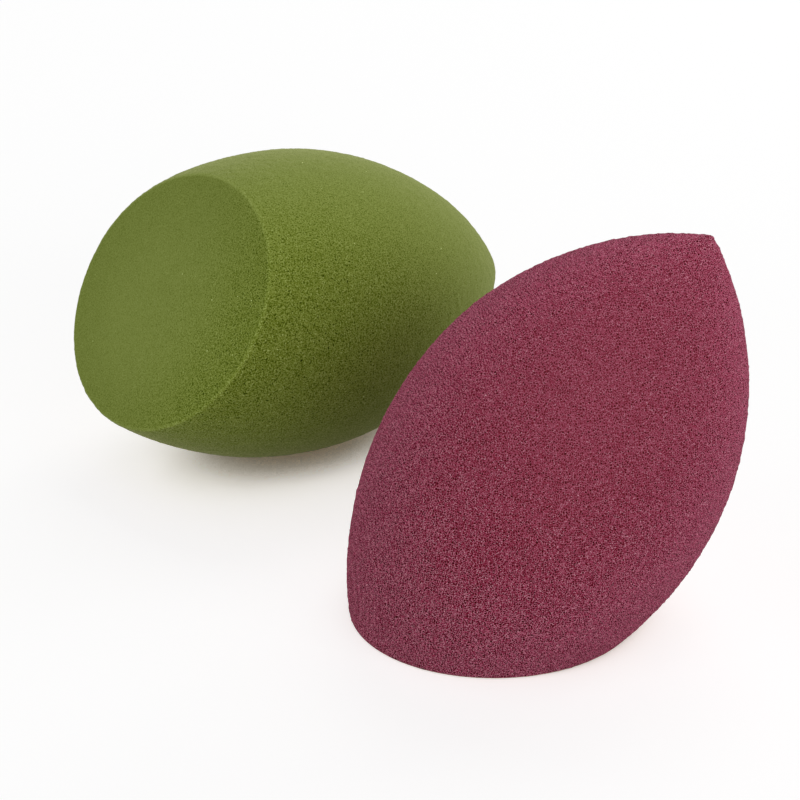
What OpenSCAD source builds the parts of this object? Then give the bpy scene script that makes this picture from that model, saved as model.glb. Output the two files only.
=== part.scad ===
// A pair of pointed foam makeup sponges with slanted flat cuts.
// One stands on its cut and leans, the other lies on its side behind it.
// The origin is where the standing sponge's axis meets its cut, on the table.
// +Z is up and +X is the way the standing sponge leans.

/* [Foam body] */
// Diameter of the belly, the widest place of a sponge
belly_d = 40; // [30:0.5:60]
// Length from the belly to the end of the tip
nose_l = 34; // [26:0.5:60]
// Radius of the soft point
tip_r = 0.6; // [0.3:0.1:3]
// Radius of the curve that draws in behind the belly
heel_r = 44; // [34:0.5:90]

/* [Cut of the standing sponge] */
// Slant of the cut, from square across the axis, in degrees
standing_slant = 33; // [0:0.5:40]
// Distance along the axis from the belly back to the cut
standing_back = 21; // [14:0.5:26]

/* [Cut of the lying sponge] */
// Slant of the cut, from square across the axis, in degrees
lying_slant = 28; // [0:0.5:40]
// Distance along the axis from the belly back to the cut
lying_back = 19.5; // [14:0.5:26]

/* [Place of the lying sponge] */
// Gap between the two bellies, front to back
belly_gap = 7.8; // [4:0.1:60]
// Distance of the lying sponge's belly to the left of the origin
lying_left = 11.7; // [0:0.1:40]
// Direction of the lying sponge's tip, turned from +X towards +Y, in degrees
lying_turn = 19.5; // [0:0.5:40]
// How far the tip dips below level, in degrees
lying_dip = 5.5; // [0:0.5:10]
// How far the sponge has rolled from its heavy side, in degrees
lying_roll = 23; // [-40:1:40]
// Depth that the foam settles flat where it lies on the table
settle = 0.3; // [0.1:0.05:0.45]

/* [Hidden] */
$fn = 128;

belly_r = belly_d / 2;
// The tip's round is centred on the axis, and the nose arc touches it and is upright at the belly.
tip_z = nose_l - tip_r;
nose_r = (pow(tip_z, 2) / (belly_r - tip_r) + tip_r + belly_r) / 2;
nose_centre = belly_r - nose_r;
// The heel arc is upright at the belly too, so the two arcs meet there without an edge.
heel_centre = belly_r - heel_r;
// Height at which the nose arc gives way to the tip's round.
blend_z = tip_z * nose_r / (nose_r - tip_r);
// A cutting block larger than either sponge.
block = 2 * (nose_l + heel_r);
// The lying belly's centre stands this high: its lowest point touches, less the settled depth.
lying_height = nose_r + nose_centre * cos(lying_dip) - settle;
// The cut's long side is the heavy one, so half a turn brings it down.
heavy_side_down = 180;

// Half of the outline ahead of the belly: the nose arc, closed by the round tip.
module nose_outline() {
    intersection() {
        translate([nose_centre, 0]) circle(r = nose_r);
        square([belly_r, blend_z]);
    }
    intersection() {
        translate([0, tip_z]) circle(r = tip_r);
        translate([0, tip_z - tip_r]) square([tip_r, 2 * tip_r]);
    }
}

// Half of the outline behind the belly, as far as the arc reaches the axis.
module heel_outline() {
    intersection() {
        translate([heel_centre, 0]) circle(r = heel_r);
        translate([0, -heel_r]) square([belly_r, heel_r]);
    }
}

// The moulded body before it is cut, with its belly at the origin and its tip up.
module moulded_body() {
    rotate_extrude() {
        nose_outline();
        heel_outline();
    }
}

// Everything behind a slanted plane that crosses the axis at the distance back.
module waste(slant, back) {
    translate([0, 0, -back])
        rotate([0, -slant, 0])
            translate([-block / 2, -block / 2, -block]) cube(block);
}

// One sponge: the moulded body with its heel sliced off.
module sponge(slant, back) {
    difference() {
        moulded_body();
        waste(slant, back);
    }
}

// Stands on its cut, so the slant makes its axis lean towards +X.
module burgundy_sponge() {
    color([0.50, 0.23, 0.29])
        rotate([0, standing_slant, 0])
            translate([0, 0, standing_back])
                sponge(standing_slant, standing_back);
}

// Lies on its side, behind the standing one, settled flat where it touches the table.
module green_sponge() {
    color([0.42, 0.47, 0.21])
        difference() {
            translate([-lying_left, belly_d + belly_gap, lying_height])
                rotate([0, 90 + lying_dip, lying_turn])
                    rotate([0, 0, heavy_side_down + lying_roll])
                        sponge(lying_slant, lying_back);
            translate([-block, -block, -block]) cube([2 * block, 2 * block, block]);
        }
}

burgundy_sponge();
green_sponge();
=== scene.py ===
# %% [markdown]
# # A pair of foam makeup sponges
#
# The real objects are two blocks of open-cell foam, moulded as pointed ovals and sliced off at a
# slant. One stands on its cut, the other lies on its side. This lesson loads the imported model,
# which says where each sponge is, and gives both a fuller shape and a foam finish around it.
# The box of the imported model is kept, so that the last cell can show that nothing has grown.

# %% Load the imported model
from math import asin, atan, cos, hypot, pi, radians, sin, tan

import bpy
from mathutils import Matrix, Vector, noise


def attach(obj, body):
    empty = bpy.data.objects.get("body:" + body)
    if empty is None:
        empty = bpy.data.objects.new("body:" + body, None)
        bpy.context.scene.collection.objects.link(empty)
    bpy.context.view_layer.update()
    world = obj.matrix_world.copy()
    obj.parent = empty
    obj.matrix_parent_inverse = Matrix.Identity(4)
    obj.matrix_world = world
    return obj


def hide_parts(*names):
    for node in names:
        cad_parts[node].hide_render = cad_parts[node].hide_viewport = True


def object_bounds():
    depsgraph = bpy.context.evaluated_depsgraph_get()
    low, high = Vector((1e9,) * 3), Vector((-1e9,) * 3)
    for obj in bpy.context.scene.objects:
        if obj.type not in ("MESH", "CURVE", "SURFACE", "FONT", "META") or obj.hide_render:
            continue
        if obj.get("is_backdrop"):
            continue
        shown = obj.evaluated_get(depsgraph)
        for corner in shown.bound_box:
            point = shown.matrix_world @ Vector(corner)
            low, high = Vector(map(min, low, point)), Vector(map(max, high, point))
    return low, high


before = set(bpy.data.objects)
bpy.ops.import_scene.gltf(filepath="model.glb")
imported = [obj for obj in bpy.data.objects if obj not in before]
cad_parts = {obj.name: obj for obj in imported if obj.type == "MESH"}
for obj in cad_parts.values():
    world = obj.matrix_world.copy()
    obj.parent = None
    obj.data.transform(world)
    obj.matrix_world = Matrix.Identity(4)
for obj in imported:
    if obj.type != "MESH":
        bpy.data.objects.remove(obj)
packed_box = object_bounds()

# %% [markdown]
# ## Camera
#
# The camera comes first, because each later choice is judged through it. It could be placed by
# eye, but the two sponges hold enough curves to work it out: it looks down on them at almost 28
# degrees, from a little to the left of the front. A long lens from a third of a metre keeps the
# nearer sponge from bulging. The sensor is set too, because Blender's own frame is not square.

# %% Camera
MM = 0.001
AIM = Vector((5.8, 54.0, 0.0)) * MM
CAMERA_AZIMUTH, CAMERA_ELEVATION = radians(-12.7), radians(27.9)
CAMERA_DISTANCE = 347 * MM
LENS, SENSOR = 112.5, 36
SEES_FROM, SEES_TO = 0.01, 20

towards_camera = Vector((sin(CAMERA_AZIMUTH) * cos(CAMERA_ELEVATION),
                         -cos(CAMERA_AZIMUTH) * cos(CAMERA_ELEVATION),
                         sin(CAMERA_ELEVATION)))
camera = bpy.data.objects.new("camera", bpy.data.cameras.new("camera"))
camera.data.lens, camera.data.sensor_width = LENS, SENSOR
camera.data.sensor_fit = "HORIZONTAL"
camera.data.clip_start, camera.data.clip_end = SEES_FROM, SEES_TO
camera.location = AIM + towards_camera * CAMERA_DISTANCE
camera.rotation_euler = towards_camera.to_track_quat("Z", "Y").to_euler()
bpy.context.collection.objects.link(camera)
bpy.context.scene.camera = camera
print("camera at", [round(c / MM, 1) for c in camera.location], "mm")

# %% [markdown]
# ## Shape of the mould
#
# Both sponges come out of one mould. Its half outline is three arcs that meet without an edge:
# a tiny round at the tip, a long nose and a flatter heel. A sphere pulled to a point with
# proportional editing would come close, but true arcs keep the shape that was designed, and the
# sizes below are the ones it was designed with, in millimetres.

# %% The arcs of the mould
BELLY_R = 20.0
NOSE_L = 34.0
TIP_R = 0.6
HEEL_R = 44.0

tip_z = NOSE_L - TIP_R
nose_r = (tip_z ** 2 / (BELLY_R - TIP_R) + TIP_R + BELLY_R) / 2
nose_centre = BELLY_R - nose_r
heel_centre = BELLY_R - HEEL_R
nose_turn = asin(tip_z / (nose_r - TIP_R))
print(f"nose arc: radius {nose_r:.2f} mm over {nose_turn * 180 / pi:.1f} degrees")

# %% [markdown]
# A slanted plane cuts the heel off. Seen along one half-plane through the axis, the outline then
# runs from the tip down the nose, past the belly, along the heel as far as the plane, and
# straight in to the axis. One formula gives the turn at which the heel meets the plane, so no
# Boolean is needed, and the mesh keeps its even rows. The slant leaves the sponge short on one
# side and long on the other, and the cut reaches further out on the short one, near the belly. A
# knife leaves foam with an edge that is crisp but not sharp: a short curve takes the corner off.

# %% The outline along one half-plane
TIP_ROWS, NOSE_ROWS, HEEL_ROWS, EDGE_ROWS, CUT_ROWS = 4, 126, 64, 8, 46
EDGE_SOFTNESS = 0.35


def heel_point(turn):
    """A point of the heel arc, as distance from the axis and height."""
    return Vector((heel_centre + HEEL_R * cos(turn), -HEEL_R * sin(turn)))


def outline(direction, slant, back):
    """Points from the tip to the middle of the cut, each as (from axis, height, cut, way out).

    cut is 0 on the skin and 1 on the cut, and way out is 0 at the middle of the cut and 1 from
    its edge on.
    """
    points = [(TIP_R * sin(a), tip_z + TIP_R * cos(a), 0, 1)
              for a in ((pi / 2 - nose_turn) * k / TIP_ROWS for k in range(1, TIP_ROWS))]
    points += [(nose_centre + nose_r * cos(a), nose_r * sin(a), 0, 1)
               for a in (nose_turn * (1 - k / NOSE_ROWS) for k in range(NOSE_ROWS))]
    slope = cos(direction) * tan(slant)
    meets = asin((back - heel_centre * slope) / (HEEL_R * hypot(1, slope))) - atan(slope)
    last = meets - EDGE_SOFTNESS / HEEL_R
    points += [(*heel_point(last * k / HEEL_ROWS), 0, 1) for k in range(HEEL_ROWS)]
    start, corner, middle = heel_point(last), heel_point(meets), Vector((0, -back))
    end = corner + (middle - corner).normalized() * EDGE_SOFTNESS
    for k in range(EDGE_ROWS):
        t = k / EDGE_ROWS
        points.append((*((1 - t) ** 2 * start + 2 * t * (1 - t) * corner + t ** 2 * end), t, 1))
    points += [(*end.lerp(middle, k / CUT_ROWS), 1, 1 - k / CUT_ROWS) for k in range(CUT_ROWS)]
    return points


# %% Both sides of the standing sponge's cut
STANDING_SLANT, STANDING_BACK = radians(33), 21.0
for side, direction in (("short", 0.0), ("long", pi)):
    half = outline(direction, STANDING_SLANT, STANDING_BACK)
    from_axis, height, *_ = half[-CUT_ROWS]
    print(f"{side} side of the sponge: {len(half)} points, and the cut reaches "
          f"{hypot(from_axis, height + STANDING_BACK):.1f} mm from the axis")

# %% [markdown]
# ## Surface of the foam
#
# Foam is never quite true. It swells a little more here than there as it leaves the mould, and
# its skin is made of cell walls that stand up to a tenth of a millimetre proud, which is enough to
# roughen the outline. A Displace modifier could do this, but moving the points in Python is as
# easy and the cut can be treated apart: a knife leaves it flatter than the skin. How deep the
# grain goes is given for each sponge, since one has a closer skin than the other. Noise with a
# fixed place gives the same relief on each run. Cells that are finer than the mesh are left to
# the material.

# %% Relief of the foam
SWELL_SPACING, SWELL_DEPTH = 9.0, 0.07
LUMP_SPACING, LUMP_DEPTH = 1.0, 0.035
GRAIN_SPACING = 0.5
CUT_RELIEF = 0.45


def relief(place, cut, grain_depth):
    """How far a point of the surface stands out, all in millimetres."""
    swell = noise.noise(place / SWELL_SPACING) * SWELL_DEPTH
    lumps = noise.noise(place / LUMP_SPACING) * LUMP_DEPTH
    grain = noise.noise(place / GRAIN_SPACING) * grain_depth
    return swell + (lumps + grain) * (1 + (CUT_RELIEF - 1) * cut)


print(f"swell every {SWELL_SPACING} mm, lumps every {LUMP_SPACING} mm, grain every "
      f"{GRAIN_SPACING} mm; the cut has {CUT_RELIEF:.0%} of the lumps and the grain")

# %% [markdown]
# ## Making a sponge
#
# The outlines of many half-planes, side by side, make the skin of a sponge: each row of points
# becomes a ring, and neighbouring rings are joined by four-sided faces. The tip and the middle of
# the cut are single points with a fan of triangles. Two point attributes tell the material which
# points are on the cut and how far out on it they are. The sponge is then put where it stands or
# lies. Where it rests on the table it is flat, because foam is soft and the table isn't.

# %% A sponge from its outlines
HALF_PLANES = 396
TABLE_Z = 0.0


def make_sponge(name, slant, back, placing, grain_depth, rests_on_cut):
    """A sponge, in its place, with its relief and with both attributes on every point."""
    rows = list(zip(*(outline(2 * pi * k / HALF_PLANES, slant, back) for k in range(HALF_PLANES))))
    points, cuts, ways_out = [Vector((0, 0, NOSE_L))], [0.0], [1.0]
    for row in rows:
        for k, (from_axis, height, cut, way_out) in enumerate(row):
            direction = 2 * pi * k / HALF_PLANES
            points.append(Vector((from_axis * cos(direction), from_axis * sin(direction), height)))
            cuts.append(cut)
            ways_out.append(way_out)
    # The last row is the ring round the middle of the cut, and one point closes it.
    points.append(Vector((0, 0, -back)))
    cuts.append(1.0)
    ways_out.append(0.0)
    last = len(points) - 1
    ring = [(k, (k + 1) % HALF_PLANES) for k in range(HALF_PLANES)]
    faces = [(0, 1 + a, 1 + b) for a, b in ring]
    for row in range(len(rows) - 1):
        upper, lower = 1 + row * HALF_PLANES, 1 + (row + 1) * HALF_PLANES
        faces += [(upper + a, lower + a, lower + b, upper + b) for a, b in ring]
    faces += [(last, last - HALF_PLANES + b, last - HALF_PLANES + a) for a, b in ring]

    mesh = bpy.data.meshes.new(name)
    mesh.from_pydata([placing @ p for p in points], [], faces)
    mesh.update()
    normals = [v.normal.copy() for v in mesh.vertices]
    for vertex, normal, cut in zip(mesh.vertices, normals, cuts):
        resting = rests_on_cut and cut > 0
        if not resting:
            vertex.co += normal * relief(vertex.co, cut, grain_depth)
        vertex.co.z = max(vertex.co.z, TABLE_Z)
        vertex.co *= MM
    mesh.attributes.new("cut", "FLOAT", "POINT").data.foreach_set("value", cuts)
    mesh.attributes.new("way_out", "FLOAT", "POINT").data.foreach_set("value", ways_out)
    mesh.shade_smooth()
    sponge = bpy.data.objects.new(name, mesh)
    bpy.context.collection.objects.link(sponge)
    print(f"{name}: {len(mesh.vertices)} points, {len(mesh.polygons)} faces, "
          f"lowest {min(v.co.z for v in mesh.vertices) / MM:.3f} mm")
    return sponge


# %% [markdown]
# ## The standing sponge
#
# It stands on its cut, so it leans by as much as the cut is slanted. Lifting it along its axis
# first puts the middle of the cut at the origin, and the turn then lays the cut on the table.

# %% Burgundy sponge
standing = Matrix.Rotation(STANDING_SLANT, 4, "Y") @ Matrix.Translation((0, 0, STANDING_BACK))
burgundy = make_sponge("burgundy_foam_block", STANDING_SLANT, STANDING_BACK, standing,
                       grain_depth=0.13, rests_on_cut=True)
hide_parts("burgundy_sponge")
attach(burgundy, "burgundy")

# %% [markdown]
# ## The lying sponge
#
# It has rolled onto its belly with the heavy side down and its tip dips towards the table. The
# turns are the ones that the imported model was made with, in the same order, so the two agree to
# within the foam's relief.

# %% Green sponge
LYING_SLANT, LYING_BACK = radians(28), 19.5
LYING_DIP, LYING_TURN, LYING_ROLL = radians(5.5), radians(19.5), radians(180 + 23)
LYING_LEFT, BELLY_GAP, SETTLE = 11.7, 7.8, 0.3
lying_height = nose_r + nose_centre * cos(LYING_DIP) - SETTLE
lying = (Matrix.Translation((-LYING_LEFT, 2 * BELLY_R + BELLY_GAP, lying_height))
         @ Matrix.Rotation(LYING_TURN, 4, "Z") @ Matrix.Rotation(pi / 2 + LYING_DIP, 4, "Y")
         @ Matrix.Rotation(LYING_ROLL, 4, "Z"))
green = make_sponge("green_foam_block", LYING_SLANT, LYING_BACK, lying,
                    grain_depth=0.06, rests_on_cut=False)
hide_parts("green_sponge")
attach(green, "green")

# %% [markdown]
# ## Writing a finish as arithmetic
#
# A node tree is easier to read as a formula. The small class below stands for one output of a
# node: adding or multiplying two of them adds the Math node that does it. A finish has one method
# for every other node, which takes the node's kind, its settings and what goes into its sockets.

# %% Formulas for finishes
class Wire:
    """One output of a node, which can be used in a sum."""

    def __init__(self, finish, socket):
        self.finish, self.socket = finish, socket

    def maths(self, operation, first, second):
        return self.finish.node("ShaderNodeMath", {"operation": operation}, {0: first, 1: second})

    def __add__(self, other):
        return self.maths("ADD", self, other)

    def __sub__(self, other):
        return self.maths("SUBTRACT", self, other)

    def __rsub__(self, other):
        return self.maths("SUBTRACT", other, self)

    def __mul__(self, other):
        return self.maths("MULTIPLY", self, other)

    def __rtruediv__(self, other):
        return self.maths("DIVIDE", other, self)

    __radd__, __rmul__ = __add__, __mul__


class Finish:
    """The node tree of a material or of the world, with its wires."""

    def __init__(self, owner):
        owner.use_nodes = True
        self.owner, self.tree = owner, owner.node_tree
        self.tree.nodes.clear()

    def node(self, kind, settings=None, inputs=None, output=0):
        """A wire from a new node, whose settings are made before its sockets are filled."""
        made = self.tree.nodes.new(kind)
        for setting, value in (settings or {}).items():
            if setting == "stops":
                self.set_stops(made.color_ramp.elements, value)
            else:
                setattr(made, setting, value)
        for key, value in (inputs or {}).items():
            socket = self.pick(made.inputs, key)
            if isinstance(value, Wire):
                self.tree.links.new(value.socket, socket)
            else:
                socket.default_value = value
        return Wire(self, self.pick(made.outputs, output)) if made.outputs else None

    @staticmethod
    def set_stops(elements, stops):
        """Fills a ramp with (place, colour) stops."""
        while len(elements) < len(stops):
            elements.new(1.0)
        for element, (position, colour) in zip(elements, stops):
            element.position, element.color = position, colour

    @staticmethod
    def pick(sockets, key):
        """A socket by its place, or by its name among those that the settings leave in use."""
        if isinstance(key, int):
            return sockets[key]
        return next(s for s in sockets if s.enabled and s.name == key)

    def between(self, value, low, high):
        """0 where the value is low or less, 1 where it is high or more, and smooth between."""
        return self.node("ShaderNodeMapRange", {"interpolation_type": "SMOOTHSTEP"},
                         {"Value": value, "From Min": low, "From Max": high})


# %% [markdown]
# ## Foam
#
# Seen close, the skin of the foam is a net of pale cell walls with dark pits between them, about
# a third of a millimetre from pit to pit. Two patterns share the work: Voronoi cells give the
# round pits, and a finer noise breaks their walls into crumbs. The cells have to be well shaken
# out of their rows, or the rows show as rings wherever the surface runs along them. The mesh is in
# metres, so the place of a point is first brought to millimetres, and each spacing below is a size
# on the real sponge.

# %% Net of cell walls
CRUMB_SPACING, PIT_SPACING = 0.10, 0.28
MIDDLE_OF_NOISE, MIDDLE_OF_PIT = 0.5, 0.2
SHAKEN = 0.75


def place_in_mm(finish):
    """Where a point of the surface is, in millimetres."""
    here = finish.node("ShaderNodeTexCoord", output="Object")
    return finish.node("ShaderNodeVectorMath", {"operation": "SCALE"}, {0: here, "Scale": 1 / MM})


def cell_walls(finish, place, coarseness, crumb_share, pit_share):
    """About 0 on the whole, higher on a cell wall and lower in a pit."""
    crumbs = finish.node("ShaderNodeTexNoise", None,
                         {"Vector": place, "Scale": 1 / (CRUMB_SPACING * coarseness),
                          "Detail": 0.0})
    pits = finish.node("ShaderNodeTexVoronoi", {"feature": "DISTANCE_TO_EDGE"},
                       {"Vector": place, "Scale": 1 / (PIT_SPACING * coarseness),
                        "Randomness": SHAKEN}, "Distance")
    return (crumbs - MIDDLE_OF_NOISE) * crumb_share - (pits - MIDDLE_OF_PIT) * pit_share


print("pits every", PIT_SPACING, "mm and crumbs every", CRUMB_SPACING, "mm, times the coarseness")

# %% [markdown]
# The grain isn't equally strong all over: it is made stronger towards the sides that are turned
# from the light, so part of its strength is painted shade in the pits.
# Texture painting could say where, but the grain changes mostly one way across each sponge, so a
# line through it is enough. A Dot Product measures how far along that line a place is, and a ramp
# of greys gives the strength there.

# %% How strong the grain is
def grain_strength(finish, place, start, way, stops):
    """The strength at a place, from stops of (millimetres beyond the start, strength)."""
    reach = stops[-1][0]
    line = Vector(way).normalized() / reach
    along = finish.node("ShaderNodeVectorMath", {"operation": "DOT_PRODUCT"},
                        {0: place, 1: line}, "Value") - Vector(start).dot(line)
    strongest = max(strength for _, strength in stops)
    greys = [(beyond / reach, (*[strength / strongest] * 3, 1.0)) for beyond, strength in stops]
    ramp = finish.node("ShaderNodeValToRGB", {"stops": greys}, {"Fac": along}, "Color")
    return ramp * strongest


# %% [markdown]
# A cell wall here and there stands across the light and catches it, so a few pale specks are
# painted into the colour as highlights. Voronoi cells again give the places, one for each cell, and
# the random colour that each cell has picks a few of them.

# %% Painted glints
GLINT_SPACING, GLINT_SIZE = 1.4, 0.12
GLINT_RARENESS = 0.65


def painted_glints(finish, place):
    """1 in the middle of a painted glint, a pale speck for light caught by a wall, and 0 elsewhere.
    """
    inputs = {"Vector": place, "Scale": 1 / GLINT_SPACING}
    middle = finish.node("ShaderNodeTexVoronoi", None, inputs, "Distance")
    drawn = finish.node("ShaderNodeTexVoronoi", None, inputs, "Color")
    lot = finish.node("ShaderNodeSeparateColor", None, {"Color": drawn}, "Red")
    size = GLINT_SIZE / GLINT_SPACING
    return (1 - finish.between(middle, size / 2, size)) * finish.between(lot, GLINT_RARENESS, 1.0)


print(f"a cell every {GLINT_SPACING} mm, and {1 - GLINT_RARENESS:.0%} of them have a speck")

# %% [markdown]
# ## Colour of the foam
#
# The colours are written as a colour picker shows them, from 0 to 255, and turned into amounts of
# light by the formula that screens use. A ramp then goes from the pits to the walls, and a spread
# says how far red, green and blue move along it. A weak one moves about as far as a strong one or
# further, so a pit is richer in colour and not only darker. The ramp is flatter in the middle than
# at its ends, because most of the foam is near its middle colour and only the deepest pits and the
# barest walls stand out.

# %% Colours as a picture shows them
def linear(*picked):
    """A colour as light, from the 0 to 255 that a colour picker shows."""
    shares = [min(max(p, 0), 255) / 255 for p in picked]
    return tuple(s / 12.92 if s <= 0.04045 else ((s + 0.055) / 1.055) ** 2.4 for s in shares)


print(f"half way up the picker, at 128, a grey gives {linear(128)[0]:.0%} of white's light")

# %% Ramp from pit to wall
STEPS = 6
PIT_REACH, WALL_REACH = 1.15, 0.88
FLATNESS = 1.4


def pit_to_wall(middle, spread):
    """Stops of a ramp that goes further below a colour than it goes above it."""
    stops = []
    for k in range(STEPS + 1):
        shift = 2 * k / STEPS - 1
        reach = abs(shift) ** FLATNESS * (WALL_REACH if shift > 0 else -PIT_REACH)
        shade = linear(*(m + reach * s for m, s in zip(middle, spread)))
        stops.append((k / STEPS, (*shade, 1.0)))
    return stops


print(STEPS + 1, "stops from pit to wall")

# %% [markdown]
# ## Foam finish
#
# The finish brings these together. The same net darkens the colour and sinks the surface: the
# darker colour of the pits is painted shade, as real pits lie in shade. A knife opens the cells at
# the cut, and the cut gets darker towards its edge. The very edge has a painted highlight, a pale
# line where it catches the light. The saturation follows the grain, so where the grain is strong
# the colour is richer: partly because light that goes deeper into open cells comes out richer, and
# partly as painted red light that the table bounces back onto the low sides. The walls have a fine
# fuzz that catches light along the outline, and the pits have none. Sheen is made for fuzz, so
# there are two shaders, one with sheen and one without, and the net mixes them.

# %% Foam finish
MIDDLE_TONE, PIT_SHADE = 0.5, 0.17
DRIFT_SPACING, DRIFT_DETAIL, DRIFT = 1.4, 2.0, 0.06
EDGE_HIGHLIGHT, GLINT_LIFT = 0.10, 0.6
RIM_DARKENING_START, RIM_DARKENING = 0.35, 0.05
RICHNESS = 0.16
PIT_DEPTH = 0.075
ROUGHNESS, ROUGHNESS_LOSS, GLOSS = 0.95, 0.1, 0.1
FUZZ_STARTS, FUZZ_ENDS = -0.25, 0.25


def foam(name, middle, spread, coarseness, crumb_share, pit_share, cut_grain, start, way, grain,
         fuzz, fuzz_tint, fuzz_softness):
    """A foam of one colour, whose grain changes from the start one way across the sponge."""
    finish = Finish(bpy.data.materials.new(name))
    place = place_in_mm(finish)
    cut = finish.node("ShaderNodeAttribute", {"attribute_name": "cut"}, output="Fac")
    way_out = finish.node("ShaderNodeAttribute", {"attribute_name": "way_out"}, output="Fac")

    # Partly painted shade: the grain, and so the darkness of its pits, grows towards the sides
    # turned from the light.
    strength = grain_strength(finish, place, start, way, grain) * (1 - cut * (1 - cut_grain))
    walls = cell_walls(finish, place, coarseness, crumb_share, pit_share) * strength
    # Painted shade: the pits are darker than the walls, and the colour darkens more where the grain
    # is strong.
    shade = walls - strength * PIT_SHADE
    drift = finish.node("ShaderNodeTexNoise", None,
                        {"Vector": place, "Scale": 1 / DRIFT_SPACING, "Detail": DRIFT_DETAIL})
    # The edge of the cut gets a painted highlight, a pale line where it catches the light.
    # Half way from skin to cut this product is a quarter, and four of it make one.
    edge = cut * (1 - cut) * 4
    # The cut gets darker towards its edge.
    rim_darkening = cut * finish.between(way_out, RIM_DARKENING_START, 1.0)
    # Painted highlights: the glints lighten the tone of a few cell walls.
    tone = (MIDDLE_TONE + shade + (drift - MIDDLE_OF_NOISE) * DRIFT
            + painted_glints(finish, place) * GLINT_LIFT)
    tone = tone + edge * EDGE_HIGHLIGHT - rim_darkening * RIM_DARKENING

    colour = finish.node("ShaderNodeValToRGB", {"stops": pit_to_wall(middle, spread)},
                         {"Fac": tone}, "Color")
    # Saturation follows the grain: partly richer colour from open cells, partly painted red bounce
    # light on the low sides.
    usual = sum(stop_strength for _, stop_strength in grain) / len(grain)
    colour = finish.node("ShaderNodeHueSaturation", None,
                         {"Color": colour, "Saturation": 1 + (strength - usual) * RICHNESS})
    bump = finish.node("ShaderNodeBump", None,
                       {"Strength": 1.0, "Distance": PIT_DEPTH * MM, "Height": walls}, "Normal")
    bare, fuzzy = (finish.node("ShaderNodeBsdfPrincipled", None,
                               {"Base Color": colour,
                                "Roughness": ROUGHNESS - walls * ROUGHNESS_LOSS,
                                "Normal": bump, "Specular IOR Level": GLOSS,
                                "Sheen Weight": weight, "Sheen Roughness": fuzz_softness,
                                "Sheen Tint": (*fuzz_tint, 1)}) for weight in (0.0, fuzz))
    fuzziness = finish.between(walls, FUZZ_STARTS, FUZZ_ENDS)
    finish.node("ShaderNodeOutputMaterial", None, {"Surface": finish.node(
        "ShaderNodeMixShader", None, {0: fuzziness, 1: bare, 2: fuzzy})})
    print(name, "has", len(finish.tree.nodes), "nodes")
    return finish.owner


# %% Foam of both sponges
burgundy.data.materials.append(foam(
    "burgundy_foam", (138, 37, 66), (73, 136, 113),
    coarseness=0.95, crumb_share=1.3, pit_share=1.7, cut_grain=0.6,
    start=(11, -18, 33), way=(0.15, 0.81, -0.56),
    grain=[(0, 0.66), (3, 0.85), (8, 1.23), (13, 1.65), (17, 1.9), (23, 1.8), (33, 1.1)],
    fuzz=0.80, fuzz_tint=(1.0, 0.23, 0.41), fuzz_softness=0.48))
green.data.materials.append(foam(
    "green_foam", (117, 130, 56), (94, 92, 97),
    coarseness=1.45, crumb_share=1.7, pit_share=0.9, cut_grain=0.9,
    start=(0, 23.4, 0), way=(-0.05, 0.98, -0.18),
    grain=[(0, 0.60), (4, 0.50), (9, 0.31), (14, 0.21), (20, 0.175), (34, 0.155), (44, 0.42)],
    fuzz=0.40, fuzz_tint=(1.0, 0.97, 0.55), fuzz_softness=0.42))

# %% [markdown]
# ## Table and backdrop
#
# The sponges stand on a white sheet that is photographed without a grain or a horizon, so bright
# that only the place where they touch it is in shade. More light would do that to the sheet, but
# it would bleach the foam too. So the sheet has two sides to it: rays that carry light to the foam
# find plain paper, and rays that come from the camera find a whitened one. Light Path tells them
# apart, and it counts what a mirror or a lens shows as seen by the camera.

# %% Rays that see and rays that carry light
def seen_directly(finish):
    """1 for rays from the camera or from a mirror or a lens, 0 for those that carry light."""
    rays = [finish.node("ShaderNodeLightPath", output=f"Is {kind} Ray")
            for kind in ("Camera", "Glossy", "Transmission")]
    return finish.node("ShaderNodeMath", {"operation": "MINIMUM"},
                       {0: rays[0] + rays[1] + rays[2], 1: 1.0})


# %% [markdown]
# Ambient Occlusion tells how much of the sky a point of the sheet sees. A ramp turns that into the
# whitened sheet with a painted shadow: warm and dark where the foam leaves a slit of sky, and white
# from about a third of the sky on. About two thirds of it is given off as it is, so that share of
# the shadow is painted. The rest is a diffuse colour, lifted by as much as the sky is closed, which
# is painted light in the shade; it keeps the true shadow and the blush of the foam.

# %% Whitened sheet
PAPER = 0.5
SKY_SAMPLES, SKY_REACH, CLOSED_SKY = 16, 1.0, 0.01
SHEET_AND_PAINTED_SHADOW_STOPS = [(0.0, (66, 58, 46)), (0.12, (118, 110, 97)), (0.25, (213, 209, 203)),
               (0.35, (236, 233, 231)), (0.6, (248, 246, 246)), (1.0, (254, 254, 254))]
GIVEN_OFF = 0.65

paper = Finish(bpy.data.materials.new("white_paper"))
open_sky = paper.node("ShaderNodeAmbientOcclusion", {"samples": SKY_SAMPLES},
                      {"Distance": SKY_REACH}, "AO")
sheet_stops = [(share, (*linear(*picked), 1.0)) for share, picked in SHEET_AND_PAINTED_SHADOW_STOPS]
# The dark end of this ramp is a painted shadow where the sheet sees little sky.
shown = paper.node("ShaderNodeValToRGB", {"stops": sheet_stops}, {"Fac": open_sky}, "Color")
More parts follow.
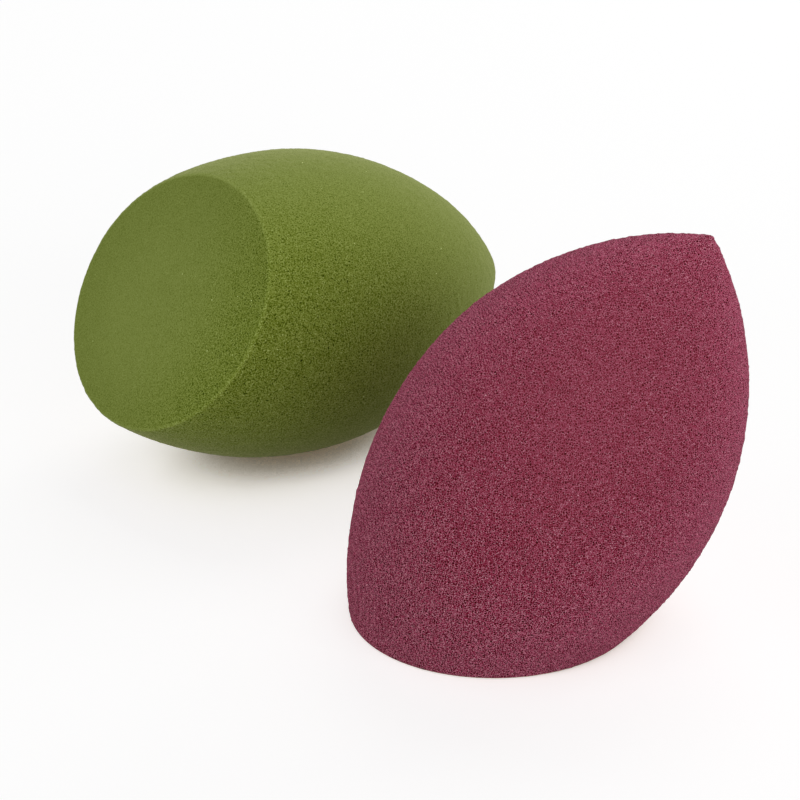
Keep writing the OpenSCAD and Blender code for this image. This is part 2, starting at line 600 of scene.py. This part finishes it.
# Lifting the diffuse colour by the closed sky paints light into its shade.
lifted = paper.node("ShaderNodeVectorMath", {"operation": "SCALE"},
                    {0: shown, "Scale": 1 / (open_sky + CLOSED_SKY)})
lit = paper.node("ShaderNodeBsdfDiffuse", None, {"Color": lifted})
given_off = paper.node("ShaderNodeEmission", None, {"Color": shown})
whitened = paper.node("ShaderNodeMixShader", None, {0: GIVEN_OFF, 1: lit, 2: given_off})
plain = paper.node("ShaderNodeBsdfDiffuse", None, {"Color": (PAPER, PAPER, PAPER, 1.0)})
paper.node("ShaderNodeOutputMaterial", None, {"Surface": paper.node(
    "ShaderNodeMixShader", None, {0: seen_directly(paper), 1: plain, 2: whitened})})
print(paper.owner.name, "has", len(paper.tree.nodes), "nodes")

# %% Table
TABLE_HALF = 3.0
table_mesh = bpy.data.meshes.new("table")
table_mesh.from_pydata([(x * TABLE_HALF, y * TABLE_HALF, TABLE_Z)
                        for x, y in ((-1, -1), (1, -1), (1, 1), (-1, 1))], [], [(0, 1, 2, 3)])
table = bpy.data.objects.new("table", table_mesh)
table_mesh.materials.append(paper.owner)
bpy.context.collection.objects.link(table)
table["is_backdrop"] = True
print("table", 2 * TABLE_HALF, "m on each side")

# %% [markdown]
# ## Light
#
# The photograph has soft light from above and in front, with hardly a shadow on the table: a tent
# or a ring of large softboxes. A bright world does most of that, and each softbox adds direction.
# A lamp is set by what it does: at a level of 0.2, foam that faces it gets a fifth of the light
# that makes white paper white. Everything together comes to about one, so that each colour renders
# about as it is written.

# %% World
WORLD_LEVEL = 0.68
world = bpy.data.worlds.new("tent")
bpy.context.scene.world = world
tent = Finish(world)
tent_seen = seen_directly(tent)
tent_light = tent.node("ShaderNodeBackground", None,
                       {"Color": (1, 1, 1, 1),
                        "Strength": tent_seen * (1 - WORLD_LEVEL) + WORLD_LEVEL})
tent.node("ShaderNodeOutputWorld", None, {"Surface": tent_light})
print(f"the tent gives {WORLD_LEVEL:.0%} of full light")

# %% Softboxes
LIT = Vector((0, 25, 15)) * MM
SOFTBOX_DISTANCE, SOFTBOX_SIZE = 1.1, 0.6


def softbox(name, azimuth, elevation, level):
    """A square lamp round the sponges. Azimuth 0 is at the front and 90 on the right."""
    lamp = bpy.data.lights.new(name, "AREA")
    lamp.shape, lamp.size = "SQUARE", SOFTBOX_SIZE
    # What reaches the foam is the energy over pi and the distance squared, and pi is full light.
    lamp.energy = level * pi ** 2 * SOFTBOX_DISTANCE ** 2
    box = bpy.data.objects.new(name, lamp)
    away = Vector((sin(azimuth) * cos(elevation), -cos(azimuth) * cos(elevation), sin(elevation)))
    box.location = LIT + away * SOFTBOX_DISTANCE
    box.rotation_euler = away.to_track_quat("Z", "Y").to_euler()
    bpy.context.collection.objects.link(box)


SOFTBOXES = (
    ("softbox_front", 0, 18, 0.15),
    ("softbox_right", 35, 18, 0.22),
    ("softbox_left", -75, 18, 0.14),
    ("softbox_back", 120, 18, 0.20),
    ("softbox_above", 150, 50, 0.18),
)
for name, azimuth, elevation, level in SOFTBOXES:
    softbox(name, radians(azimuth), radians(elevation), level)
bpy.context.scene.view_settings.view_transform = "Standard"
print(len(SOFTBOXES), "softboxes and the tent")

# %% [markdown]
# ## Size
#
# Both boxes are printed. The dressed sponges have to fill the same space as the packed ones,
# within the foam's own relief.

# %% Compare the boxes
dressed_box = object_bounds()
boxes = {"packed": [list(corner) for corner in packed_box],
         "dressed": [list(corner) for corner in dressed_box]}
for which, (low, high) in boxes.items():
    print(which, [round((h - l) / MM, 2) for l, h in zip(low, high)], "mm")
